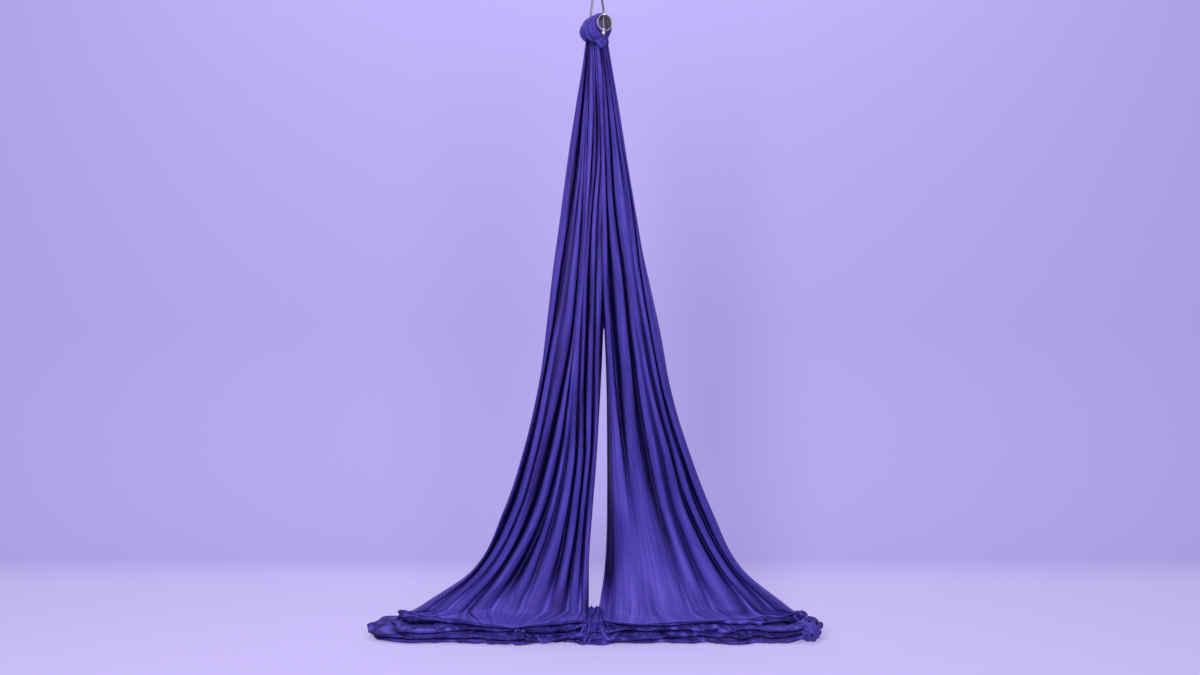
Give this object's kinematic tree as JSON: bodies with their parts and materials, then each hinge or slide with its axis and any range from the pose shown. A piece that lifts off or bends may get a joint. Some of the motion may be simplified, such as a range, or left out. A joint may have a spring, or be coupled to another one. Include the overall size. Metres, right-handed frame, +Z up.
{
  "type": "aerial silks",
  "caption": "Aerial silks: a length of violet cloth hitched over a short steel tube on a ball-bearing swivel, its tails hanging to the floor and lying in folds.",
  "frame": {"origin": "centre of the ceiling plate's top face, which bolts against the ceiling", "axes": "+Z up, +X to the right and -Y towards a person who faces the silks as in the picture; the hanger tube's axis is turned 64 degrees clockwise from +X, seen from above"},
  "size_m": [2.0328, 0.357, 3.213],
  "materials": {
    "painted_plate": "satin",
    "forged_steel": "satin",
    "plated_steel": "satin",
    "polished_steel": "polished",
    "bail_steel": "satin",
    "bearing_shield": "matte",
    "silk_cloth": "satin"
  },
  "bodies": {
    "anchor": {"ceiling_plate": "painted_plate", "anchor_staple": "forged_steel", "carabiner_body": "forged_steel", "gate_pin": "plated_steel", "swivel_eye": "polished_steel", "upper_race": "polished_steel", "swivel_washer": "plated_steel", "swivel_nut": "plated_steel"},
    "gate": {"gate": "plated_steel", "gate_plunger": "plated_steel", "gate_spring": "plated_steel"},
    "sleeve": {"locking_sleeve": "plated_steel"},
    "silks": {"lower_race": "polished_steel", "ball_cage": "plated_steel", "bearing_ball_1": "polished_steel", "bearing_ball_2": "polished_steel", "bearing_ball_3": "polished_steel", "bearing_ball_4": "polished_steel", "bearing_ball_5": "polished_steel", "bearing_ball_6": "polished_steel", "bearing_ball_7": "polished_steel", "bearing_ball_8": "polished_steel", "bearing_ball_9": "polished_steel", "bearing_ball_10": "polished_steel", "bearing_shield": "bearing_shield", "swivel_bow": "polished_steel", "bail": "bail_steel", "hanger_tube": "polished_steel", "front_inner_nut": "plated_steel", "rear_inner_nut": "plated_steel", "front_saddle_washer": "plated_steel", "rear_saddle_washer": "plated_steel", "front_dome_nut": "plated_steel", "rear_dome_nut": "plated_steel", "hitch_loop": "silk_cloth", "hitch_band": "silk_cloth", "left_tail": "silk_cloth", "right_tail": "silk_cloth"}
  },
  "joints": [
    {"name": "swivel_spin", "type": "hinge", "parent": "anchor", "child": "silks", "pos_m": [0, 0, -0.1895], "axis": [0, 0, 1], "continuous": true},
    {"name": "gate_open", "type": "hinge", "parent": "anchor", "child": "gate", "pos_m": [0.025, 0, -0.1185], "axis": [0, -1, 0], "range_deg": [0, 27], "stiffness_Nm_per_rad": 0.2, "springref_deg": -28.65},
    {"name": "sleeve_travel", "type": "slide", "parent": "gate", "child": "sleeve", "axis": [0, 0, 1], "range_m": [0, 0.022]}
  ]
}
